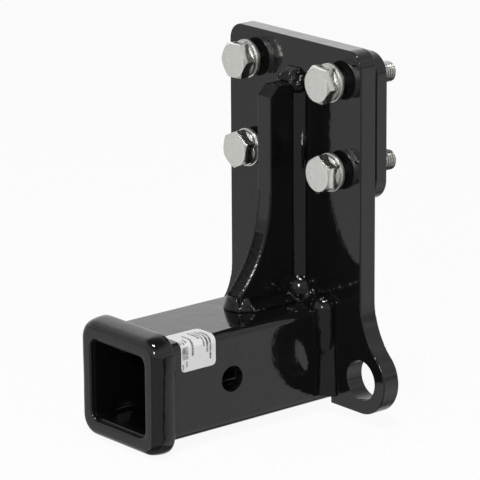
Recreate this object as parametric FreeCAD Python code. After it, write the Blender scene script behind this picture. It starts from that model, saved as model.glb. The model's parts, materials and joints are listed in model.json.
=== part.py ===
# Receiver hitch: a square receiver tube with a formed collar at its mouth, set into a slot
# of a bolt-on mounting plate and welded there, with a gusset above the tube, chain lugs
# beside it and four bolts that hang loose in their holes.
# Millimetres. The origin is the middle of the hitch pin's axis, inside the tube.
# +Y runs along the tube from the mouth to the plate, +Z is up, +X is to the right seen
# from the mouth.
import FreeCAD, Part
import math
import os

from FreeCAD import Vector

# Receiver tube
TUBE_SIZE = 63.5
TUBE_WALL = 6.35
TUBE_OUTER_CORNER = 5.0
TUBE_INNER_CORNER = 2.5
RECEIVER_REACH = 146.3
PIN_SETBACK = 67.0
PIN_HOLE_DIAMETER = 17.0

# Collar round the tube's mouth
COLLAR_WALL = 7.15
COLLAR_DEPTH = 16.0
COLLAR_CORNER = 14.0
COLLAR_NOSE_ROUND = 6.0
COLLAR_BACK_ROUND = 2.0
COLLAR_LIP = 3.0
MOUTH_EASE = 1.8
MOUTH_CORNER = 7.0
MOUTH_ROUND = 1.5
COLLAR_FIT = 0.1

# Mounting plate with its two chain lugs and the slot that takes the tube
PLATE_WIDTH = 127.0
PLATE_THICKNESS = 12.7
PLATE_RISE = 202.4
PLATE_DROP = 32.5
PLATE_CORNER = 11.0
LUG_REACH = 64.1
LUG_RADIUS = 22.2
LUG_HOLE_DIAMETER = 26.5
FLARE_RADIUS = 50.0
SLOT_GAP = 4.1
SLOT_CORNER = 6.0
EDGE_SOFTENING = 0.8

# Spacer behind the upper part of the plate
SPACER_THICKNESS = 9.5
SPACER_HEIGHT = 95.25
SPACER_SETDOWN = 3.4
SPACER_CORNER = 14.0

# Gusset between the plate and the top of the tube
GUSSET_THICKNESS = 12.7
GUSSET_DEPTH = 25.4
GUSSET_RISE = 174.5
GUSSET_CHAMFER = 6.5
GUSSET_CURVE_RADIUS = 90.0
GUSSET_CURVE_TOP = 105.0
GUSSET_TOE_HEIGHT = 10.0
GUSSET_TOE_ROUND = 4.0

# Bolts with their washers, upper left, upper right, lower left, lower right
BOLT_DIAMETER = 14.0
BOLT_CLEARANCE = 1.5
BOLT_LENGTH = 55.0
BOLT_THREAD_LENGTH = 23.0
BOLT_THREAD_DIAMETER = 13.6
BOLT_TIP_CHAMFER = 1.4
HEAD_ACROSS_FLATS = 22.0
HEAD_HEIGHT = 7.6
HEAD_CHAMFER_ANGLE = 28.0
HEAD_FACE_SHARE = 0.97
BOLT_SPACING_X = 81.4
BOLT_SPACING_Z = 58.6
BOLT_TOP_EDGE = 20.7
BOLT_STANDOFFS = (3.7, 4.5, 3.3, 3.7)
HEAD_TURNS = (1.5, 53.0, 23.0, 28.0)
LOCK_WASHER_OUTER = 23.6
LOCK_WASHER_HEIGHT = 2.8
LOCK_WASHER_GAP = 2.2
LOCK_WASHER_SLANT = 25.0
LOCK_WASHER_TURNS = (12.0, 35.0, 80.0, 60.0)
FLAT_WASHER_OUTER = 25.0
FLAT_WASHER_HEIGHT = 2.4
WASHER_BORE_CLEARANCE = 0.6

# Weld beads, each by its leg on either side of the corner that it fills
BEAD_CROWN = 0.12
GUSSET_BEAD_ON_PLATE = 6.1
GUSSET_BEAD_ON_GUSSET = 7.4
FOOT_BEAD = 6.5
FOOT_LUMP = 11.0
SIDE_BEAD_ON_PLATE_HIGH = 7.0
SIDE_BEAD_ON_PLATE_LOW = 9.4
SIDE_BEAD_ON_TUBE_HIGH = 6.0
SIDE_BEAD_ON_TUBE_LOW = 8.0
SIDE_BEAD_END_GAP = 5.0
TOP_BEAD_ON_PLATE = 7.5
TOP_BEAD_ON_TUBE = 6.0
CORNER_LUMP = 8.5
SLOT_WELD_CROWN = 1.2
WRAP_ON_PLATE = 9.0
WRAP_ON_GUSSET = 6.0
WRAP_LUMP = 6.5
NOSE_HEIGHT = 15.5
NOSE_FOOT_RADIUS = 11.3
NOSE_TOP_RADIUS = 7.3
NOSE_SHIFT = -1.2
NOSE_SEAM = 1.0
COLLAR_BEAD = 5.0
COLLAR_BEAD_STOP = 9.0
COLLAR_LOWER_BEAD_LENGTH = 40.0
SPACER_BEAD_ON_SPACER = 7.5
SPACER_BEAD_ON_PLATE = 5.0
SPACER_BEAD_LENGTH = 26.0

# Sticker folded over the tube's upper right edge
LABEL_START = 26.0
LABEL_WIDTH = 27.6
LABEL_ON_TOP = 17.6
LABEL_ON_SIDE = 19.2
LABEL_CORNER = 3.0
LABEL_THICKNESS = 0.2

# Places that follow from the sizes above
TUBE_HALF = TUBE_SIZE / 2
SLOT_HALF = TUBE_HALF + SLOT_GAP
COLLAR_HALF = TUBE_HALF + COLLAR_WALL
MOUTH_HALF = TUBE_HALF - TUBE_WALL + MOUTH_EASE
MOUTH_Y = -PIN_SETBACK
TUBE_FRONT_Y = MOUTH_Y + COLLAR_LIP
COLLAR_BACK_Y = MOUTH_Y + COLLAR_DEPTH
PLATE_Y = MOUTH_Y + RECEIVER_REACH
PLATE_BACK_Y = PLATE_Y + PLATE_THICKNESS
SPACER_BACK_Y = PLATE_BACK_Y + SPACER_THICKNESS
SPACER_TOP = PLATE_RISE - SPACER_SETDOWN
SPACER_BOTTOM = SPACER_TOP - SPACER_HEIGHT
LUG_Z = LUG_RADIUS - PLATE_DROP
GUSSET_HALF = GUSSET_THICKNESS / 2
GUSSET_FRONT_Y = PLATE_Y - GUSSET_DEPTH
BOLT_Z = PLATE_RISE - BOLT_TOP_EDGE
BOLT_HOLE_DIAMETER = BOLT_DIAMETER + BOLT_CLEARANCE

X_AXIS = Vector(1, 0, 0)
Y_AXIS = Vector(0, 1, 0)
Z_AXIS = Vector(0, 0, 1)
CORNER_SAGITTA = 1 - math.sqrt(0.5)
TOUCH = 1e-3


def line(a, b):
    return Part.LineSegment(a, b).toShape()


def arc(a, middle, b):
    return Part.Arc(a, middle, b).toShape()


def prism(edges, direction):
    """Solid swept straight from a closed outline."""
    return Part.Face(Part.Wire(edges)).extrude(direction)


def box(x0, x1, y0, y1, z0, z1):
    return Part.makeBox(x1 - x0, y1 - y0, z1 - z0, Vector(x0, y0, z0))


def cylinder(radius, start, direction, length):
    return Part.makeCylinder(radius, length, start, direction)


def rounded_rectangle(half_x, z_low, z_high, radius, y):
    """Closed outline at depth y, centred across the tube, with equal round corners."""
    edges = []
    middle_z = (z_low + z_high) / 2
    half_z = (z_high - z_low) / 2
    bend = radius * CORNER_SAGITTA
    corners = ((1, 1), (-1, 1), (-1, -1), (1, -1))
    for index, (sx, sz) in enumerate(corners):
        nx, nz = corners[(index + 1) % 4]
        end_x = Vector(sx * half_x, y, middle_z + sz * (half_z - radius))
        end_z = Vector(sx * (half_x - radius), y, middle_z + sz * half_z)
        on_bend = Vector(sx * (half_x - bend), y, middle_z + sz * (half_z - bend))
        first, last = (end_x, end_z) if sx * sz > 0 else (end_z, end_x)
        edges.append(arc(first, on_bend, last))
        next_x = Vector(nx * half_x, y, middle_z + nz * (half_z - radius))
        next_z = Vector(nx * (half_x - radius), y, middle_z + nz * half_z)
        edges.append(line(last, next_x if nx * nz > 0 else next_z))
    return edges


def rounded_bar(half, radius, y0, y1):
    """Square bar with round corners between two depths, centred on the tube's axis."""
    return prism(rounded_rectangle(half, -half, half, radius, y0), Vector(0, y1 - y0, 0))


def edges_at_depth(shape, y):
    """Edges that lie in the plane across the tube at depth y."""
    found = []
    for edge in shape.Edges:
        bounds = edge.BoundBox
        if abs(bounds.YMin - y) < TOUCH and abs(bounds.YMax - y) < TOUCH:
            found.append(edge)
    return found


def reach_from_axis(edge):
    """Largest distance of an edge from the tube's axis, along X or Z."""
    bounds = edge.BoundBox
    return max(abs(bounds.XMin), abs(bounds.XMax), abs(bounds.ZMin), abs(bounds.ZMax))


def bolt_places():
    """Bolt axes as (x, z): upper left, upper right, lower left, lower right."""
    places = []
    for z in (BOLT_Z, BOLT_Z - BOLT_SPACING_Z):
        for side in (-1, 1):
            places.append((side * BOLT_SPACING_X / 2, z))
    return places


def drill_bolt_holes(shape, y, thickness):
    for x, z in bolt_places():
        shape = shape.cut(cylinder(BOLT_HOLE_DIAMETER / 2, Vector(x, y, z), Y_AXIS, thickness))
    return shape


def receiver_tube():
    outer = rounded_bar(TUBE_HALF, TUBE_OUTER_CORNER, TUBE_FRONT_Y, PLATE_BACK_Y)
    inner = rounded_bar(TUBE_HALF - TUBE_WALL, TUBE_INNER_CORNER, TUBE_FRONT_Y, PLATE_BACK_Y)
    pin_hole = cylinder(PIN_HOLE_DIAMETER / 2, Vector(-TUBE_HALF, 0, 0), X_AXIS, TUBE_SIZE)
    return outer.cut(inner).cut(pin_hole)


def receiver_collar():
    """Formed ring whose lip stands in front of the tube and narrows the mouth to the lip."""
    ring = rounded_bar(COLLAR_HALF, COLLAR_CORNER, MOUTH_Y, COLLAR_BACK_Y)
    ring = ring.makeFillet(COLLAR_NOSE_ROUND, edges_at_depth(ring, MOUTH_Y))
    ring = ring.makeFillet(COLLAR_BACK_ROUND, edges_at_depth(ring, COLLAR_BACK_Y))
    ring = ring.cut(rounded_bar(MOUTH_HALF, MOUTH_CORNER, MOUTH_Y, COLLAR_BACK_Y))
    front_edges = edges_at_depth(ring, MOUTH_Y)
    mouth_edges = [edge for edge in front_edges if reach_from_axis(edge) < MOUTH_HALF + TOUCH]
    ring = ring.makeFillet(MOUTH_ROUND, mouth_edges)
    socket_half = TUBE_HALF + COLLAR_FIT
    socket_corner = TUBE_OUTER_CORNER + COLLAR_FIT
    return ring.cut(rounded_bar(socket_half, socket_corner, TUBE_FRONT_Y, COLLAR_BACK_Y))


def plate_side(side):
    """Outline of one half of the plate, from its top middle to its bottom middle."""
    half = PLATE_WIDTH / 2
    bend = PLATE_CORNER * CORNER_SAGITTA
    flare_x = half + FLARE_RADIUS
    centre_span = FLARE_RADIUS + LUG_RADIUS
    flare_z = LUG_Z + math.sqrt(centre_span ** 2 - (flare_x - LUG_REACH) ** 2)
    share = LUG_RADIUS / centre_span
    meet_x = LUG_REACH + (flare_x - LUG_REACH) * share
    meet_z = LUG_Z + (flare_z - LUG_Z) * share
    flare_turn = math.atan2(flare_z - meet_z, flare_x - meet_x) / 2
    lug_turn = (math.atan2(meet_z - LUG_Z, meet_x - LUG_REACH) - math.pi / 2) / 2

    def at(x, z):
        return Vector(side * x, PLATE_Y, z)

    def round_at(x, z, radius, turn):
        return at(x + radius * math.cos(turn), z + radius * math.sin(turn))

    corner_start = at(half - PLATE_CORNER, PLATE_RISE)
    corner_end = at(half, PLATE_RISE - PLATE_CORNER)
    flare_point = round_at(flare_x, flare_z, -FLARE_RADIUS, flare_turn)
    lug_point = round_at(LUG_REACH, LUG_Z, LUG_RADIUS, lug_turn)
    return [
        line(at(0, PLATE_RISE), corner_start),
        arc(corner_start, at(half - bend, PLATE_RISE - bend), corner_end),
        line(corner_end, at(half, flare_z)),
        arc(at(half, flare_z), flare_point, at(meet_x, meet_z)),
        arc(at(meet_x, meet_z), lug_point, at(LUG_REACH, -PLATE_DROP)),
        line(at(LUG_REACH, -PLATE_DROP), at(0, -PLATE_DROP)),
    ]


def tube_slot():
    """Slot in the plate that is open at the bottom and leaves a weld gap round the tube."""
    foot = -PLATE_DROP - 2 * SLOT_CORNER
    outline = rounded_rectangle(SLOT_HALF, foot, SLOT_HALF, SLOT_CORNER, PLATE_Y)
    return prism(outline, Vector(0, PLATE_THICKNESS, 0))


def mounting_plate():
    plate = prism(plate_side(1) + plate_side(-1), Vector(0, PLATE_THICKNESS, 0))
    rims = edges_at_depth(plate, PLATE_Y) + edges_at_depth(plate, PLATE_BACK_Y)
    plate = plate.makeFillet(EDGE_SOFTENING, rims).cut(tube_slot())
    for side in (-1, 1):
        start = Vector(side * LUG_REACH, PLATE_Y, LUG_Z)
        plate = plate.cut(cylinder(LUG_HOLE_DIAMETER / 2, start, Y_AXIS, PLATE_THICKNESS))
    return drill_bolt_holes(plate, PLATE_Y, PLATE_THICKNESS)


def spacer_plate():
    outline = rounded_rectangle(PLATE_WIDTH / 2, SPACER_BOTTOM, SPACER_TOP, SPACER_CORNER, PLATE_BACK_Y)
    spacer = prism(outline, Vector(0, SPACER_THICKNESS, 0))
    rims = edges_at_depth(spacer, PLATE_BACK_Y) + edges_at_depth(spacer, SPACER_BACK_Y)
    spacer = spacer.makeFillet(EDGE_SOFTENING, rims)
    return drill_bolt_holes(spacer, PLATE_BACK_Y, SPACER_THICKNESS)


def gusset_curve_y(z):
    """Depth of the gusset's hollow front edge at height z."""
    centre_y = GUSSET_FRONT_Y - GUSSET_CURVE_RADIUS
    return centre_y + math.sqrt(GUSSET_CURVE_RADIUS ** 2 - (GUSSET_CURVE_TOP - z) ** 2)


def gusset():
    toe_z = TUBE_HALF + GUSSET_TOE_HEIGHT
    toe_y = gusset_curve_y(toe_z)
    middle_z = (toe_z + GUSSET_CURVE_TOP) / 2

    def at(y, z):
        return Vector(-GUSSET_HALF, y, z)

    foot = [at(PLATE_Y, TUBE_HALF), at(toe_y, TUBE_HALF), at(toe_y, toe_z)]
    upper = [
        at(GUSSET_FRONT_Y, GUSSET_CURVE_TOP),
        at(GUSSET_FRONT_Y, GUSSET_RISE - GUSSET_CHAMFER),
        at(GUSSET_FRONT_Y + GUSSET_CHAMFER, GUSSET_RISE),
        at(PLATE_Y, GUSSET_RISE),
        at(PLATE_Y, TUBE_HALF),
    ]
    edges = [line(a, b) for a, b in zip(foot, foot[1:])]
    edges.append(arc(foot[-1], at(gusset_curve_y(middle_z), middle_z), upper[0]))
    edges += [line(a, b) for a, b in zip(upper, upper[1:])]
    body = prism(edges, Vector(GUSSET_THICKNESS, 0, 0))
    toe_edges = [edge for edge in edges_at_depth(body, toe_y) if edge.BoundBox.ZMin > toe_z - TOUCH]
    body = body.makeFillet(GUSSET_TOE_ROUND, toe_edges)
    free_edges = []
    for edge in body.Edges:
        bounds = edge.BoundBox
        in_side = bounds.XLength < TOUCH
        at_plate = bounds.YMin > PLATE_Y - TOUCH
        at_tube = bounds.ZMax < TUBE_HALF + TOUCH
        if in_side and not at_plate and not at_tube:
            free_edges.append(edge)
    return body.makeFillet(EDGE_SOFTENING, free_edges)


def bead_section(root, leg_a, leg_b):
    """Closed outline of a bead: two legs from the corner and a slightly crowned face."""
    end_a = root + leg_a
    end_b = root + leg_b
    crown = root + (leg_a + leg_b) * (0.5 + BEAD_CROWN)
    return Part.Wire([line(root, end_a), arc(end_a, crown, end_b), line(end_b, root)])


def bead(start, end, leg_a, leg_b):
    return Part.Face(bead_section(start, leg_a, leg_b)).extrude(end - start)


def lump(place, radius):
    """Ball of weld where a pass starts or stops. Its poles lie inside the pieces that it joins."""
    return Part.makeSphere(radius, place, Vector(math.copysign(1, place.x), 2, 3))


def side_bead(side):
    """Upright bead between one side of the tube and the plate, heavier towards its foot."""
    x = side * TUBE_HALF
    high = Vector(x, PLATE_Y, TUBE_HALF - TUBE_OUTER_CORNER / 2)
    low = Vector(x, PLATE_Y, SIDE_BEAD_END_GAP - TUBE_HALF)
    high_legs = (Vector(side * SIDE_BEAD_ON_PLATE_HIGH, 0, 0), Vector(0, -SIDE_BEAD_ON_TUBE_HIGH, 0))
    low_legs = (Vector(side * SIDE_BEAD_ON_PLATE_LOW, 0, 0), Vector(0, -SIDE_BEAD_ON_TUBE_LOW, 0))
    sections = [bead_section(high, *high_legs), bead_section(low, *low_legs)]
    shoulder = Vector(x - side * TUBE_OUTER_CORNER / 2, PLATE_Y, TUBE_HALF - TUBE_OUTER_CORNER / 2)
    return Part.makeLoft(sections, True, True).fuse(lump(shoulder, CORNER_LUMP))


def slot_weld():
    """Weld that fills the gap between the slot and the tube, crowned at the plate's back."""
    outer = tube_slot()
    back = PLATE_BACK_Y + SLOT_WELD_CROWN
    wide = rounded_rectangle(SLOT_HALF, SIDE_BEAD_END_GAP - TUBE_HALF, SLOT_HALF, SLOT_CORNER, PLATE_BACK_Y)
    narrow_half = SLOT_HALF - SLOT_WELD_CROWN
    narrow_foot = SIDE_BEAD_END_GAP - TUBE_HALF + SLOT_WELD_CROWN
    narrow = rounded_rectangle(narrow_half, narrow_foot, narrow_half, SLOT_CORNER - SLOT_WELD_CROWN, back)
    crown = Part.makeLoft([Part.Wire(wide), Part.Wire(narrow)], True, True)
    above_foot = box(-SLOT_HALF, SLOT_HALF, PLATE_Y, back, SIDE_BEAD_END_GAP - TUBE_HALF, SLOT_HALF)
    inside = rounded_bar(TUBE_HALF, TUBE_OUTER_CORNER, PLATE_Y, back)
    return outer.common(above_foot).fuse(crown).cut(inside).removeSplitter()


def foot_bead(side):
    """Bead between one face of the gusset and the top of the tube, with a lump at the plate."""
    x = side * GUSSET_HALF
    toe = Vector(x, gusset_curve_y(TUBE_HALF + GUSSET_TOE_HEIGHT) + FOOT_BEAD, TUBE_HALF)
    plate = Vector(x, PLATE_Y, TUBE_HALF)
    run = bead(toe, plate, Vector(side * FOOT_BEAD, 0, 0), Vector(0, 0, FOOT_BEAD))
    return run.fuse(lump(plate, FOOT_LUMP))


def wrap_bead():
    """Bead that turns over the gusset's top, with a lump at each corner."""
    left = Vector(-GUSSET_HALF, PLATE_Y, GUSSET_RISE)
    right = Vector(GUSSET_HALF, PLATE_Y, GUSSET_RISE)
    shape = bead(left, right, Vector(0, 0, WRAP_ON_PLATE), Vector(0, -WRAP_ON_GUSSET, 0))
    for corner in (left, right):
        shape = shape.fuse(lump(corner, WRAP_LUMP))
    return shape


def gusset_side_bead(side):
    """Upright bead between one face of the gusset and the plate."""
    x = side * GUSSET_HALF
    low = Vector(x, PLATE_Y, TUBE_HALF + FOOT_BEAD)
    high = Vector(x, PLATE_Y, GUSSET_RISE)
    return bead(low, high, Vector(side * GUSSET_BEAD_ON_PLATE, 0, 0), Vector(0, -GUSSET_BEAD_ON_GUSSET, 0))


def top_bead(side):
    """Level bead on top of the tube between the gusset's foot and the tube's corner."""
    inner = Vector(side * GUSSET_HALF, PLATE_Y, TUBE_HALF)
    outer = Vector(side * (TUBE_HALF - TUBE_OUTER_CORNER / 2), PLATE_Y, TUBE_HALF)
    return bead(inner, outer, Vector(0, 0, TOP_BEAD_ON_PLATE), Vector(0, -TOP_BEAD_ON_TUBE, 0))


def nose_bead():
    """Steep half cone of weld round the gusset's toe, wide on the tube and narrow at its top."""
    toe_y = gusset_curve_y(TUBE_HALF + GUSSET_TOE_HEIGHT)
    foot = Vector(NOSE_SHIFT, toe_y + FOOT_BEAD + NOSE_SEAM, TUBE_HALF)
    cone = Part.makeCone(NOSE_FOOT_RADIUS, NOSE_TOP_RADIUS, NOSE_HEIGHT, foot, Z_AXIS, 180)
    cone.rotate(foot, Z_AXIS, 180)
    return cone


def collar_ring():
    """Bead section all round the tube against the back of the collar."""
    half = TUBE_HALF + COLLAR_BEAD
    root = TUBE_HALF + COLLAR_FIT
    wide = rounded_rectangle(half, -half, half, TUBE_OUTER_CORNER + COLLAR_BEAD, COLLAR_BACK_Y)
    end_y = COLLAR_BACK_Y + COLLAR_BEAD
    thin = rounded_rectangle(root, -root, root, TUBE_OUTER_CORNER + COLLAR_FIT, end_y)
    return Part.makeLoft([Part.Wire(wide), Part.Wire(thin)], True, True)


def collar_upper_bead():
    """Bead over the top of the tube and down both sides to its stops."""
    half = TUBE_HALF + COLLAR_BEAD
    keep = box(-half, half, COLLAR_BACK_Y, COLLAR_BACK_Y + COLLAR_BEAD, COLLAR_BEAD_STOP, half)
    return collar_ring().common(keep)


def collar_lower_bead():
    half = COLLAR_LOWER_BEAD_LENGTH / 2
    low = -TUBE_HALF - COLLAR_BEAD
    return collar_ring().common(box(-half, half, COLLAR_BACK_Y, COLLAR_BACK_Y + COLLAR_BEAD, low, -TUBE_HALF))


def spacer_bead(side):
    """Stitch under the spacer beside one of its round corners, clear of the bolt holes."""
    outer = Vector(PLATE_WIDTH / 2 - SPACER_CORNER, PLATE_BACK_Y, SPACER_BOTTOM)
    inner = outer - X_AXIS * SPACER_BEAD_LENGTH
    run = bead(outer, inner, Vector(0, 0, -SPACER_BEAD_ON_PLATE), Vector(0, SPACER_BEAD_ON_SPACER, 0))
    stitch = run.fuse(lump(outer, SPACER_BEAD_ON_SPACER))
    stitch = drill_bolt_holes(stitch, PLATE_Y, SPACER_BACK_Y - PLATE_Y)
    return stitch if side > 0 else stitch.mirror(Vector(0, 0, 0), X_AXIS)


def hexagon_head(x, z, seat_y, turn):
    """Bolt head with its outer corners turned off to a cone."""
    radius = HEAD_ACROSS_FLATS / math.sqrt(3)
    points = []
    for index in range(7):
        angle = math.radians(turn + 60 * index)
        points.append(Vector(x + radius * math.cos(angle), seat_y, z + radius * math.sin(angle)))
    hexagon = Part.Face(Part.makePolygon(points)).extrude(Vector(0, -HEAD_HEIGHT, 0))
    face_radius = HEAD_ACROSS_FLATS / 2 * HEAD_FACE_SHARE
    seat_radius = face_radius + HEAD_HEIGHT / math.tan(math.radians(HEAD_CHAMFER_ANGLE))
    cone = Part.makeCone(face_radius, seat_radius, HEAD_HEIGHT, Vector(x, seat_y - HEAD_HEIGHT, z), Y_AXIS)
    return hexagon.common(cone)


def bolt(x, z, seat_y, turn):
    """Bolt along Y with a plain shank and a slightly thinner threaded end."""
    tip_y = seat_y + BOLT_LENGTH
    thread_y = tip_y - BOLT_THREAD_LENGTH
    cone_y = tip_y - BOLT_TIP_CHAMFER
    radius = BOLT_THREAD_DIAMETER / 2
    shank = cylinder(BOLT_DIAMETER / 2, Vector(x, seat_y, z), Y_AXIS, thread_y - seat_y)
    thread = cylinder(radius, Vector(x, thread_y, z), Y_AXIS, cone_y - thread_y)
    tip = Part.makeCone(radius, radius - BOLT_TIP_CHAMFER, BOLT_TIP_CHAMFER, Vector(x, cone_y, z), Y_AXIS)
    return hexagon_head(x, z, seat_y, turn).fuse([shank, thread, tip]).removeSplitter()


def washer(x, z, y, outer, height):
    """Flat ring whose bore clears the bolt."""
    bore = (BOLT_DIAMETER + WASHER_BORE_CLEARANCE) / 2
    start = Vector(x, y, z)
    return cylinder(outer / 2, start, Y_AXIS, height).cut(cylinder(bore, start, Y_AXIS, height))


def lock_washer(x, z, y, turn):
    """Split ring: a washer with a slanting cut through one side."""
    lean = LOCK_WASHER_HEIGHT * math.tan(math.radians(LOCK_WASHER_SLANT))
    low = -(LOCK_WASHER_GAP + lean) / 2
    corners = ((low, 0), (low + LOCK_WASHER_GAP, 0),
               (low + LOCK_WASHER_GAP + lean, LOCK_WASHER_HEIGHT), (low + lean, LOCK_WASHER_HEIGHT))
    points = [Vector(a, b, 0) for a, b in corners]
    slit = Part.Face(Part.makePolygon(points + points[:1])).extrude(Vector(0, 0, LOCK_WASHER_OUTER))
    slit.rotate(Vector(0, 0, 0), Y_AXIS, turn)
    slit.translate(Vector(x, y, z))
    return washer(x, z, y, LOCK_WASHER_OUTER, LOCK_WASHER_HEIGHT).cut(slit)


def fasteners():
    """Bolts, split washers and flat washers, each a group of four separate solids."""
    bolts = []
    lock_washers = []
    flat_washers = []
    rows = zip(bolt_places(), BOLT_STANDOFFS, HEAD_TURNS, LOCK_WASHER_TURNS)
    for (x, z), standoff, head_turn, split_turn in rows:
        flat_y = PLATE_Y - standoff - FLAT_WASHER_HEIGHT
        seat_y = flat_y - LOCK_WASHER_HEIGHT
        bolts.append(bolt(x, z, seat_y, head_turn))
        lock_washers.append(lock_washer(x, z, seat_y, split_turn))
        flat_washers.append(washer(x, z, flat_y, FLAT_WASHER_OUTER, FLAT_WASHER_HEIGHT))
    groups = {"bolts": bolts, "lock_washers": lock_washers, "flat_washers": flat_washers}
    return {name: Part.makeCompound(solids) for name, solids in groups.items()}


def label_face(length, start_y):
    """Half outline of the sticker, in the XY plane, with round corners at its free end."""
    end_y = start_y + LABEL_WIDTH
    bend = LABEL_CORNER * CORNER_SAGITTA
    inner = -length
    return [
        line(Vector(LABEL_THICKNESS, start_y, 0), Vector(inner + LABEL_CORNER, start_y, 0)),
        arc(Vector(inner + LABEL_CORNER, start_y, 0), Vector(inner + bend, start_y + bend, 0),
            Vector(inner, start_y + LABEL_CORNER, 0)),
        line(Vector(inner, start_y + LABEL_CORNER, 0), Vector(inner, end_y - LABEL_CORNER, 0)),
        arc(Vector(inner, end_y - LABEL_CORNER, 0), Vector(inner + bend, end_y - bend, 0),
            Vector(inner + LABEL_CORNER, end_y, 0)),
        line(Vector(inner + LABEL_CORNER, end_y, 0), Vector(LABEL_THICKNESS, end_y, 0)),
        line(Vector(LABEL_THICKNESS, end_y, 0), Vector(LABEL_THICKNESS, start_y, 0)),
    ]


def label():
    """Thin sticker over the tube's upper right edge."""
    start_y = MOUTH_Y + LABEL_START
    end_y = start_y + LABEL_WIDTH
    half = TUBE_HALF + LABEL_THICKNESS
    outer = rounded_bar(half, TUBE_OUTER_CORNER + LABEL_THICKNESS, start_y, end_y)
    skin = outer.cut(rounded_bar(TUBE_HALF, TUBE_OUTER_CORNER, start_y, end_y))
    on_top = prism(label_face(LABEL_ON_TOP, start_y), Vector(0, 0, TUBE_OUTER_CORNER + LABEL_THICKNESS))
    on_top.translate(Vector(TUBE_HALF, 0, TUBE_HALF - TUBE_OUTER_CORNER))
    on_side = prism(label_face(LABEL_ON_SIDE, start_y), Vector(0, 0, -TUBE_OUTER_CORNER - LABEL_THICKNESS))
    on_side.rotate(Vector(0, 0, 0), Y_AXIS, -90)
    on_side.translate(Vector(TUBE_HALF - TUBE_OUTER_CORNER, 0, TUBE_HALF))
    return skin.common(on_top.fuse(on_side))


def weld_beads(welded):
    """Beads by name. Each gives way to the pieces that it joins and to the beads before it."""
    beads = {
        "slot_weld": slot_weld(),
        "tube_weld_right": side_bead(1),
        "tube_weld_left": side_bead(-1),
        "gusset_weld_top": wrap_bead(),
        "gusset_weld_nose": nose_bead(),
        "gusset_foot_weld_right": foot_bead(1),
        "gusset_foot_weld_left": foot_bead(-1),
        "gusset_weld_right": gusset_side_bead(1),
        "gusset_weld_left": gusset_side_bead(-1),
        "tube_top_weld_right": top_bead(1),
        "tube_top_weld_left": top_bead(-1),
        "collar_weld_upper": collar_upper_bead(),
        "collar_weld_lower": collar_lower_bead(),
        "spacer_weld_right": spacer_bead(1),
        "spacer_weld_left": spacer_bead(-1),
    }
    tube_core = rounded_bar(TUBE_HALF, TUBE_OUTER_CORNER, TUBE_FRONT_Y, PLATE_BACK_Y + SLOT_WELD_CROWN)
    laid = list(welded) + [tube_core]
    for name, shape in beads.items():
        for other in laid:
            shape = shape.cut(other)
        laid.append(shape)
        beads[name] = shape
    return beads


def build():
    nodes = {
        "mounting_plate": mounting_plate(),
        "spacer_plate": spacer_plate(),
        "receiver_collar": receiver_collar(),
        "gusset": gusset(),
    }
    nodes.update(weld_beads(nodes.values()))
    nodes["receiver_tube"] = receiver_tube()
    nodes["label"] = label()
    nodes.update(fasteners())
    return nodes


def main():
    os.makedirs("parts", exist_ok=True)
    for name, shape in build().items():
        shape.exportStep(os.path.join("parts", name + ".step"))
        print(name, "solids", len(shape.Solids), "volume", round(shape.Volume, 1), "valid", shape.isValid())


main()
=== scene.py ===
import json
import math

import bmesh
import bpy
from mathutils import Matrix, Vector, noise


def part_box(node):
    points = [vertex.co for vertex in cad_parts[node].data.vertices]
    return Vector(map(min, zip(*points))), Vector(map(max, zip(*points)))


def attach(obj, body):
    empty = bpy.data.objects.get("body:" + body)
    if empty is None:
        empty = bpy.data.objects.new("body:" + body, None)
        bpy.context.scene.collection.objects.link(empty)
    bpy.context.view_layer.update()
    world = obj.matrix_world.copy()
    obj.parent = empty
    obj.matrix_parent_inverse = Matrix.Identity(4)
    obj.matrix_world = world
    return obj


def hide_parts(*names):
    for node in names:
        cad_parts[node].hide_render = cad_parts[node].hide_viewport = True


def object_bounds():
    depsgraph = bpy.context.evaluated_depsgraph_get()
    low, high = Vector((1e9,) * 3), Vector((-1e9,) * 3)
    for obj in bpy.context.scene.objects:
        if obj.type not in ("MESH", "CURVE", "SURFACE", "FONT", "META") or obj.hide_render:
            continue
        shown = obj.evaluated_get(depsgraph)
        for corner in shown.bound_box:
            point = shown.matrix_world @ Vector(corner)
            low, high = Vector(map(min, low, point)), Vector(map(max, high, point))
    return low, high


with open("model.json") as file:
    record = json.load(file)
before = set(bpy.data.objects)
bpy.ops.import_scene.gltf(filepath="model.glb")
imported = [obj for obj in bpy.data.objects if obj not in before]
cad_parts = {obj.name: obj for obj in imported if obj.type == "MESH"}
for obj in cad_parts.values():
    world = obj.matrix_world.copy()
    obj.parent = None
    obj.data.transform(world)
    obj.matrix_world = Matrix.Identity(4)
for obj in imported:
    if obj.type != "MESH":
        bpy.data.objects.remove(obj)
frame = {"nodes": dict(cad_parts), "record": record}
CAD_LOW, CAD_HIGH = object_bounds()
NODES = frame["nodes"]
MM = 0.001

# Camera: angles in degrees, lens and sensor in mm. The azimuth turns from -Y towards +X.
CAMERA_AZIMUTH = 50.121
CAMERA_ELEVATION = 15.998
CAMERA_ROLL = -0.377
CAMERA_DISTANCE = 2.1978
CAMERA_AIM = Vector((0.01492, 0.02118, 0.08309))
CAMERA_LENS = 262.07
SENSOR_WIDTH = 36.0
FAR_CLIP = 100.0


def new_object(name, data):
    """Object in the scene that holds a mesh, a lamp or a camera."""
    item = bpy.data.objects.new(name, data)
    bpy.context.scene.collection.objects.link(item)
    return item


def apply_modifiers(piece):
    """Bakes a piece's modifiers into its mesh."""
    graph = bpy.context.evaluated_depsgraph_get()
    mesh = bpy.data.meshes.new_from_object(piece.evaluated_get(graph))
    piece.modifiers.clear()
    old = piece.data
    piece.data = mesh
    bpy.data.meshes.remove(old)


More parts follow.
